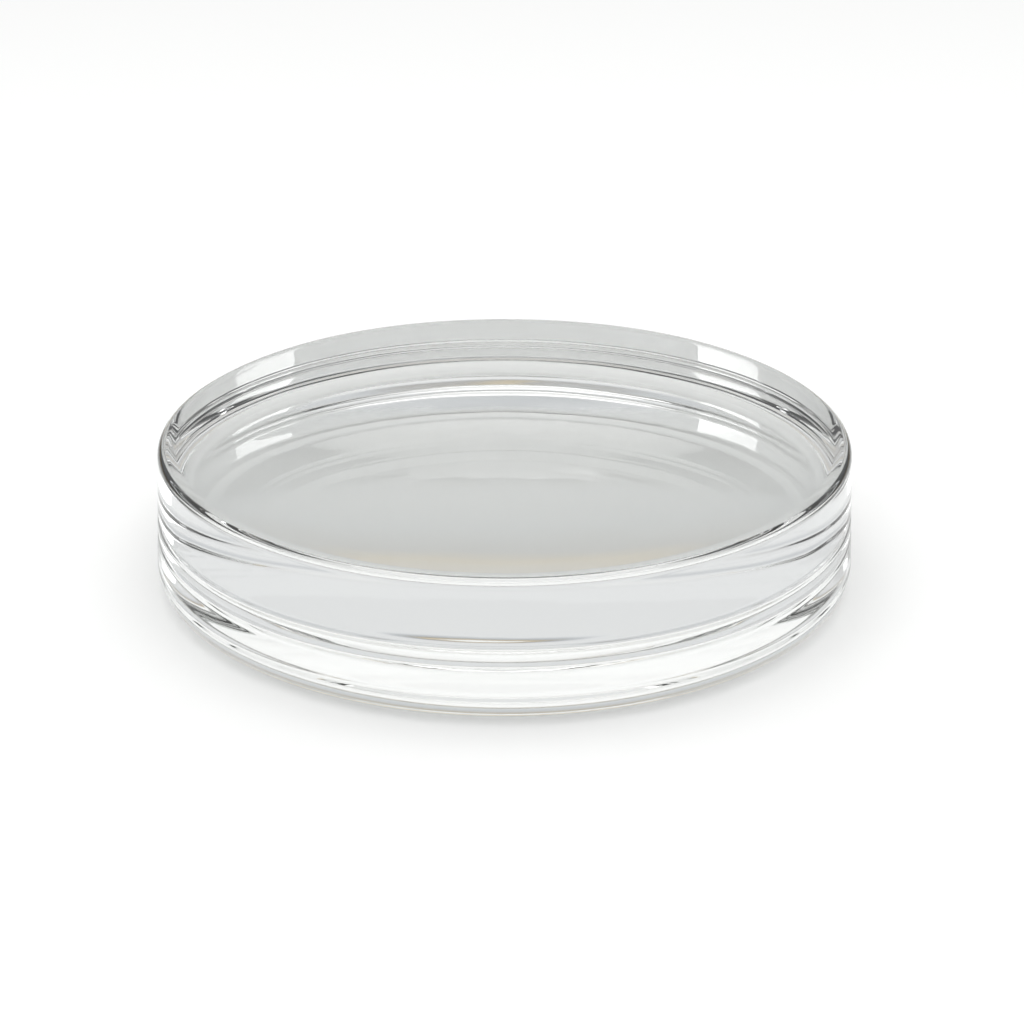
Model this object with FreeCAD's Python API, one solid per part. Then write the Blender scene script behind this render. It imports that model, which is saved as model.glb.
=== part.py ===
import FreeCAD, Part

import math
import os

# A low, heavy crystallizing dish, pressed in one piece from clear glass.
# It stands on its foot at z = 0, opens upward along +Z, and is a solid of revolution about Z.
# All lengths are in millimetres.

# Driving dimensions
RIM_DIAMETER = 99.0         # outside, at the top, before the rim is rounded
FOOT_DIAMETER = 101.0       # outside, at the bottom, before the foot is rounded
HEIGHT = 20.5               # foot to rim
WELL_DEPTH = 4.9            # rim to the floor of the well
WELL_MOUTH_DIAMETER = 95.0  # where the well's side leaves the rim
WELL_SIDE_RUN = 23.5        # how far the well's side slopes inward on its way down

# Roundings
FOOT_RADIUS = 3.2
RIM_OUTER_RADIUS = 1.2
RIM_INNER_RADIUS = 5.0
WELL_FLOOR_RADIUS = 211.0

AXIS = FreeCAD.Vector(0, 0, 1)
ORIGIN = FreeCAD.Vector(0, 0, 0)
FULL_TURN = 360.0


def rounded_outline(corners):
    """Join (radius from the axis, height, rounding) corners with straight edges and tangent arcs."""
    edges = []
    here = FreeCAD.Vector(corners[0][0], 0, corners[0][1])
    for before, corner, after in zip(corners, corners[1:], corners[2:]):
        point = FreeCAD.Vector(corner[0], 0, corner[1])
        to_before = (FreeCAD.Vector(before[0], 0, before[1]) - point).normalize()
        to_after = (FreeCAD.Vector(after[0], 0, after[1]) - point).normalize()
        half_angle = to_before.getAngle(to_after) / 2
        tangent_length = corner[2] / math.tan(half_angle)
        arc_start = point + to_before * tangent_length
        arc_end = point + to_after * tangent_length
        bisector = (to_before + to_after).normalize()
        arc_middle = point + bisector * (corner[2] / math.sin(half_angle) - corner[2])
        edges.append(Part.LineSegment(here, arc_start).toShape())
        edges.append(Part.Arc(arc_start, arc_middle, arc_end).toShape())
        here = arc_end
    last = FreeCAD.Vector(corners[-1][0], 0, corners[-1][1])
    edges.append(Part.LineSegment(here, last).toShape())
    return edges


def dish_body():
    """Thick base, side that widens slightly towards the foot, and a shallow well like a saucer."""
    well_floor = HEIGHT - WELL_DEPTH
    well_mouth = WELL_MOUTH_DIAMETER / 2
    corners = [
        (0, 0, 0),
        (FOOT_DIAMETER / 2, 0, FOOT_RADIUS),
        (RIM_DIAMETER / 2, HEIGHT, RIM_OUTER_RADIUS),
        (well_mouth, HEIGHT, RIM_INNER_RADIUS),
        (well_mouth - WELL_SIDE_RUN, well_floor, WELL_FLOOR_RADIUS),
        (0, well_floor, 0),
    ]
    edges = rounded_outline(corners)
    edges.append(Part.LineSegment(FreeCAD.Vector(0, 0, well_floor), ORIGIN).toShape())
    section = Part.Face(Part.Wire(edges))
    return section.revolve(ORIGIN, AXIS, FULL_TURN)


def save(shape, node):
    shape.exportStep(os.path.join("parts", node + ".step"))


os.makedirs("parts", exist_ok=True)
save(dish_body(), "dish_body")
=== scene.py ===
import math

import bpy
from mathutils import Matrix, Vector, noise


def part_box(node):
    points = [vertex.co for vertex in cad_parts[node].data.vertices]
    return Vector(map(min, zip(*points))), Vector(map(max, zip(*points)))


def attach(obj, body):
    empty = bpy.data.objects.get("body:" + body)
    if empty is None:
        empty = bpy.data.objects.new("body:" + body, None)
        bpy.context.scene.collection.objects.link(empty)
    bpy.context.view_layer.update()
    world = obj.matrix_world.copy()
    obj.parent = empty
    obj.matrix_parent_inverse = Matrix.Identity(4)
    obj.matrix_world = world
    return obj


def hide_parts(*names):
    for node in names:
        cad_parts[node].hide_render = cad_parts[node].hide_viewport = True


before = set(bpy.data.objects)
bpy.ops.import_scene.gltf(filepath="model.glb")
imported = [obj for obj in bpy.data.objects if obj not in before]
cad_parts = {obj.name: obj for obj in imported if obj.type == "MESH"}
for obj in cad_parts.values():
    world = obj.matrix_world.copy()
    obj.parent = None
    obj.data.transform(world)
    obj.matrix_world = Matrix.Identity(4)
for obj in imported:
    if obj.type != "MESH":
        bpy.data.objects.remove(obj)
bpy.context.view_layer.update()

# ---------------------------------------------------------------- the dish's sizes, all from the frame
LOW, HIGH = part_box("dish_body")
HEIGHT = HIGH.z - LOW.z
WIDEST = (HIGH.x - LOW.x) / 2

RIM_RADIUS = WIDEST * 0.983                 # outside, at the top
FOOT_RADIUS = WIDEST * 1.003                # outside, before the foot is rounded
WELL_MOUTH = WIDEST * 0.944
WELL_SIDE_RUN = WIDEST * 0.467
WELL_FLOOR = HEIGHT * 0.761

FOOT_ROUNDING = WIDEST * 0.064
RIM_OUTER_ROUNDING = WIDEST * 0.024
RIM_INNER_ROUNDING = WIDEST * 0.10
WELL_ROUNDING = WIDEST * 4.2

# Faint rings that the mould leaves round the outside: height and depth of each.
RING_HALF_WIDTH = WIDEST * 0.009
MOULD_RINGS = [
    (WIDEST * 0.080, WIDEST * 0.0016),
    (WIDEST * 0.164, WIDEST * 0.0030),
    (WIDEST * 0.213, WIDEST * 0.0040),
]
RIPPLE_DEPTH = WIDEST * 0.0030              # of the fire-polished surface
RIPPLE_LENGTH = WIDEST * 0.62
RIPPLE_FLATTENING = 1.6                     # the ripple is this much finer in height
FINE_RIPPLE_SHARE = 0.12                    # of the depth
FINE_RIPPLE_TIMES = 3.1                     # shorter than the slow ripple

WALL_STARTS = RIM_RADIUS * 0.99             # stretches wider than this are divided finely
RINGS_START = RIM_RADIUS * 0.97             # only what is wider than this carries mould rings
LEVEL_ENOUGH = 0.99                         # the level share of the normal of an upright face

SPOKES = 480                                # faces round the dish
ARC_STEPS = 16                              # faces round each rounding
LONGEST_FACE = WIDEST * 0.025               # along a straight stretch of the outline
WALL_FACE = WIDEST * 0.004                  # on the wall, where the mould rings are
FULL_TURN = 2 * math.pi


# ---------------------------------------------------------------- the dish's outline
def rounded_outline(corners):
    """Turn (radius, height, rounding) corners into points, with each rounding as a tangent arc."""
    points = [Vector(corners[0][:2])]
    for before, corner, after in zip(corners, corners[1:], corners[2:]):
        tip = Vector(corner[:2])
        back = (Vector(before[:2]) - tip).normalized()
        ahead = (Vector(after[:2]) - tip).normalized()
        half = back.angle(ahead) / 2
        centre = tip + (back + ahead).normalized() * (corner[2] / math.sin(half))
        start = tip + back * (corner[2] / math.tan(half)) - centre
        end = tip + ahead * (corner[2] / math.tan(half)) - centre
        turn = math.atan2(start.cross(end), start.dot(end))
        for step in range(ARC_STEPS + 1):
            angle = turn * step / ARC_STEPS
            swung = Vector((start.x * math.cos(angle) - start.y * math.sin(angle),
                            start.x * math.sin(angle) + start.y * math.cos(angle)))
            points.append(centre + swung)
    points.append(Vector(corners[-1][:2]))
    return points


def divided(points):
    """Split long straight stretches so that the glass can ripple along them."""
    result = [points[0]]
    for point in points[1:]:
        last = result[-1]
        on_wall = min(point.x, last.x) > WALL_STARTS
        pieces = max(1, math.ceil((point - last).length / (WALL_FACE if on_wall else LONGEST_FACE)))
        result += [last.lerp(point, (k + 1) / pieces) for k in range(pieces)]
    return result


def dish_outline():
    corners = [
        (0, 0, 0),
        (FOOT_RADIUS, 0, FOOT_ROUNDING),
        (RIM_RADIUS, HEIGHT, RIM_OUTER_ROUNDING),
        (WELL_MOUTH, HEIGHT, RIM_INNER_ROUNDING),
        (WELL_MOUTH - WELL_SIDE_RUN, WELL_FLOOR, WELL_ROUNDING),
        (0, WELL_FLOOR, 0),
    ]
    return divided(rounded_outline(corners))


def spin(name, outline):
    """A closed solid of revolution, with a single point where each end of the outline meets the axis."""
    ring_points = outline[1:-1]
    vertices = [(0, 0, outline[0].y)]
    for point in ring_points:
        for spoke in range(SPOKES):
            angle = FULL_TURN * spoke / SPOKES
            vertices.append((point.x * math.cos(angle), point.x * math.sin(angle), point.y))
    vertices.append((0, 0, outline[-1].y))
    top = len(vertices) - 1

    def at(ring, spoke):
        return 1 + ring * SPOKES + spoke % SPOKES

    faces = []
    for spoke in range(SPOKES):
        faces.append((0, at(0, spoke + 1), at(0, spoke)))
        faces.append((top, at(len(ring_points) - 1, spoke), at(len(ring_points) - 1, spoke + 1)))
        for ring in range(len(ring_points) - 1):
            below = (at(ring, spoke), at(ring, spoke + 1))
            above = (at(ring + 1, spoke + 1), at(ring + 1, spoke))
            faces.append(below + above)
    mesh = bpy.data.meshes.new(name)
    mesh.from_pydata(vertices, [], faces)
    mesh.validate()
    for face in mesh.polygons:
        face.use_smooth = True
    piece = bpy.data.objects.new(name, mesh)
    bpy.context.scene.collection.objects.link(piece)
    return piece


def ring_offset(height):
    """How far the wall is drawn in by the mould rings at this height."""
    drawn_in = 0
    for ring, depth in MOULD_RINGS:
        drawn_in += depth * math.exp(-((height - ring) / RING_HALF_WIDTH) ** 2)
    return -drawn_in


def ripple(place):
    """The slow unevenness of fire-polished glass, none where the foot rests."""
    grain = Vector((place.x, place.y, place.z * RIPPLE_FLATTENING)) / RIPPLE_LENGTH
    clear_of_foot = min(1, place.z / FOOT_ROUNDING)
    fine = FINE_RIPPLE_SHARE * noise.noise(grain * FINE_RIPPLE_TIMES)
    return RIPPLE_DEPTH * clear_of_foot * (noise.noise(grain) + fine)


def worked(piece):
    """Press the mould rings into the wall and let the fire-polished surface ripple."""
    mesh = piece.data
    normals = [vertex.normal.copy() for vertex in mesh.vertices]
    for vertex, normal in zip(mesh.vertices, normals):
        offset = ripple(vertex.co)
        if normal.xy.length > LEVEL_ENOUGH and vertex.co.xy.length > RINGS_START:
            offset += ring_offset(vertex.co.z)
        vertex.co += normal * offset
    return piece


dish = worked(spin("glass_dish", dish_outline()))
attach(dish, "root")
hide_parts("dish_body")


# ---------------------------------------------------------------- shader maths
class Value:
    """A socket that Python's operators work on: each expression adds its Math nodes."""

    def __init__(self, tree, socket):
        self.tree = tree
        self.socket = socket

    def math(self, operation, first, second):
        return self.tree.node("ShaderNodeMath", {"operation": operation}, {0: first, 1: second})

    def __sub__(self, other):
        return self.math("SUBTRACT", self, other)

    def __rsub__(self, other):
        return self.math("SUBTRACT", other, self)

    def __mul__(self, other):
        return self.math("MULTIPLY", self, other)

    def __gt__(self, other):
        return self.math("GREATER_THAN", self, other)

    def __lt__(self, other):
        return self.math("LESS_THAN", self, other)

    __rmul__ = __mul__


class Tree:
    """The nodes of one material or of the surroundings."""

    def __init__(self, owner):
        owner.use_nodes = True
        self.nodes = owner.node_tree.nodes
        self.links = owner.node_tree.links

    def connect(self, value, socket):
        if isinstance(value, Value):
            self.links.new(value.socket, socket)
        else:
            socket.default_value = value

    def node(self, kind, settings=None, sockets=None, output=0):
        made = self.nodes.new(kind)
        for name, setting in (settings or {}).items():
            if name == "stops":
                self.set_stops(made.color_ramp, setting)
            else:
                setattr(made, name, setting)
        for name, value in (sockets or {}).items():
            self.connect(value, made.inputs[name])
        return Value(self, made.outputs[output])

    def set_stops(self, ramp, stops):
        first, last = stops[0], stops[-1]
        ramp.elements[0].position, ramp.elements[0].color = first[0], (*first[1], 1)
        ramp.elements[-1].position, ramp.elements[-1].color = last[0], (*last[1], 1)
        for position, colour in stops[1:-1]:
            ramp.elements.new(position).color = (*colour, 1)


# ---------------------------------------------------------------- materials
GLASS_INDEX = 1.52
GLASS_TINT = (0.93, 0.94, 0.93, 1)
SEED_TINT = (0.55, 0.55, 0.53, 1)
SEED_SPREAD = 60                            # cells per metre, with at most one seed in each
SEED_SIZE = 0.022                           # as a share of a cell
SMEAR_SCALE = 45
SMEAR_STARTS = 0.5
SEEDS_START = 0.56
SMEAR_ROUGHNESS = 0.08
DRAW_MARK_SCALE = 160
DRAW_MARK_DEPTH = 0.00004
PAPER_COLOUR = (0.97, 0.97, 0.965, 1)
PAPER_ROUGHNESS = 0.9
PAPER_GRAIN_SCALE = 900
PAPER_GRAIN_DEPTH = 0.0001


def clear_glass():
    """Soda glass: faint pressing marks, a film of handling smears, and a few tiny seeds."""
    material = bpy.data.materials.new("clear_glass")
    tree = Tree(material)
    surface = tree.nodes["Principled BSDF"]
    place = tree.node("ShaderNodeTexCoord", output="Object")
    smear = tree.node("ShaderNodeTexNoise", sockets={"Vector": place, "Scale": SMEAR_SCALE, "Detail": 4})
    streaks = {"Vector": place, "Scale": DRAW_MARK_SCALE, "Detail": 2}
    draw_marks = tree.node("ShaderNodeTexNoise", sockets=streaks)
    cells = {"Vector": place, "Scale": SEED_SPREAD}
    cell = tree.node("ShaderNodeTexVoronoi", sockets=cells, output="Distance")
    seed = (cell < SEED_SIZE) * (smear > SEEDS_START)
    tints = {0: seed, 6: GLASS_TINT, 7: SEED_TINT}
    tint = tree.node("ShaderNodeMix", {"data_type": "RGBA"}, tints, output=2)
    tree.connect(tint, surface.inputs["Base Color"])
    film = (smear > SMEAR_STARTS) * (smear - SMEAR_STARTS) * SMEAR_ROUGHNESS
    tree.connect(film, surface.inputs["Roughness"])
    marks = {"Height": draw_marks, "Strength": 0.05, "Distance": DRAW_MARK_DEPTH}
    bump = tree.node("ShaderNodeBump", sockets=marks)
    tree.connect(bump, surface.inputs["Normal"])
    surface.inputs["Transmission Weight"].default_value = 1
    surface.inputs["IOR"].default_value = GLASS_INDEX
    return material


def matt_paper():
    """The pale sheet that the dish stands on, with a barely visible grain."""
    material = bpy.data.materials.new("matt_paper")
    tree = Tree(material)
    surface = tree.nodes["Principled BSDF"]
    place = tree.node("ShaderNodeTexCoord", output="Object")
    sheet = {"Vector": place, "Scale": PAPER_GRAIN_SCALE, "Detail": 3}
    grain = tree.node("ShaderNodeTexNoise", sockets=sheet)
    fibres = {"Height": grain, "Strength": 0.03, "Distance": PAPER_GRAIN_DEPTH}
    bump = tree.node("ShaderNodeBump", sockets=fibres)
    tree.connect(bump, surface.inputs["Normal"])
    surface.inputs["Base Color"].default_value = PAPER_COLOUR
    surface.inputs["Roughness"].default_value = PAPER_ROUGHNESS
    return material


dish.data.materials.append(clear_glass())

# ---------------------------------------------------------------- floor
FLOOR_HALF = WIDEST * 60
FLOOR_GAP = WIDEST * 0.003                  # keeps the glass and the floor from sharing a surface


def floor():
    mesh = bpy.data.meshes.new("floor")
    level = LOW.z - FLOOR_GAP
    corners = [
        (-FLOOR_HALF, -FLOOR_HALF, level),
        (FLOOR_HALF, -FLOOR_HALF, level),
        (FLOOR_HALF, FLOOR_HALF, level),
        (-FLOOR_HALF, FLOOR_HALF, level),
    ]
    mesh.from_pydata(corners, [], [(0, 1, 2, 3)])
    mesh.materials.append(matt_paper())
    piece = bpy.data.objects.new("floor", mesh)
    bpy.context.scene.collection.objects.link(piece)
    return piece


floor()

# ---------------------------------------------------------------- studio
# What surrounds the dish, by height: 0 is the horizon and 1 is straight up.
SURROUNDINGS = [
    (0.0, (0.66, 0.64, 0.60)),
    (0.06, (0.62, 0.50, 0.30)),
    (0.10, (0.40, 0.38, 0.36)),
    (0.20, (0.56, 0.58, 0.60)),
    (0.36, (0.80, 0.81, 0.82)),
    (1.0, (0.95, 0.95, 0.94)),
]
BACKDROP = (1, 1, 1, 1)                     # seen past the dish
SURROUNDINGS_STRENGTH = 1.0

world = bpy.data.worlds.new("studio")
bpy.context.scene.world = world
room = Tree(world)
direction = room.node("ShaderNodeTexCoord", output="Generated")
height = room.node("ShaderNodeSeparateXYZ", sockets={0: direction}, output="Z")
tone = room.node("ShaderNodeValToRGB", {"stops": SURROUNDINGS}, {0: height})
seen_directly = room.node("ShaderNodeLightPath", output="Is Camera Ray")
backdrop = room.node("ShaderNodeMix", {"data_type": "RGBA"},
                     {0: seen_directly, 6: tone, 7: BACKDROP}, output=2)
room.connect(backdrop, room.nodes["Background"].inputs["Color"])
room.nodes["Background"].inputs["Strength"].default_value = SURROUNDINGS_STRENGTH


def soft_box(name, azimuth, elevation, distance, size, power):
    """A flat light that faces the dish. Azimuth 0 is +X and 90 is +Y. Lengths are in rim radii."""
    light = bpy.data.lights.new(name, "AREA")
    light.shape = "RECTANGLE"
    light.size, light.size_y = size[0] * RIM_RADIUS, size[1] * RIM_RADIUS
    light.energy = power
    lamp = bpy.data.objects.new(name, light)
    bpy.context.scene.collection.objects.link(lamp)
    around, up = math.radians(azimuth), math.radians(elevation)
    toward = Vector((math.cos(around) * math.cos(up), math.sin(around) * math.cos(up), math.sin(up)))
    lamp.location = toward * distance * RIM_RADIUS
    lamp.rotation_euler = toward.to_track_quat("Z", "Y").to_euler()


soft_box("left_box", azimuth=176, elevation=27, distance=12, size=(6, 2.2), power=0.20)
soft_box("right_box", azimuth=14, elevation=27, distance=12, size=(6, 2.2), power=0.20)
soft_box("overhead", azimuth=250, elevation=84, distance=10, size=(9, 9), power=0.70)

# ---------------------------------------------------------------- camera
VIEW_DISTANCE = RIM_RADIUS * 8.0
VIEW_ELEVATION = math.radians(24.84)
FOCAL_LENGTH_IN_FRAMES = 2.6373
CENTRE_ACROSS = -0.0070                     # where the dish's centre falls, in frame widths
CENTRE_UP = -0.0498
SENSOR_WIDTH = 36
NEAREST_SEEN = 0.01

camera_data = bpy.data.cameras.new("camera")
camera = bpy.data.objects.new("camera", camera_data)
bpy.context.scene.collection.objects.link(camera)
bpy.context.scene.camera = camera
camera.location = (0, -VIEW_DISTANCE * math.cos(VIEW_ELEVATION), VIEW_DISTANCE * math.sin(VIEW_ELEVATION))
camera.rotation_euler = (math.pi / 2 - VIEW_ELEVATION, 0, 0)
camera_data.sensor_width = SENSOR_WIDTH
camera_data.lens = FOCAL_LENGTH_IN_FRAMES * SENSOR_WIDTH
camera_data.clip_start = NEAREST_SEEN
camera_data.shift_x = -CENTRE_ACROSS
camera_data.shift_y = -CENTRE_UP

bpy.context.scene.view_settings.view_transform = "Standard"
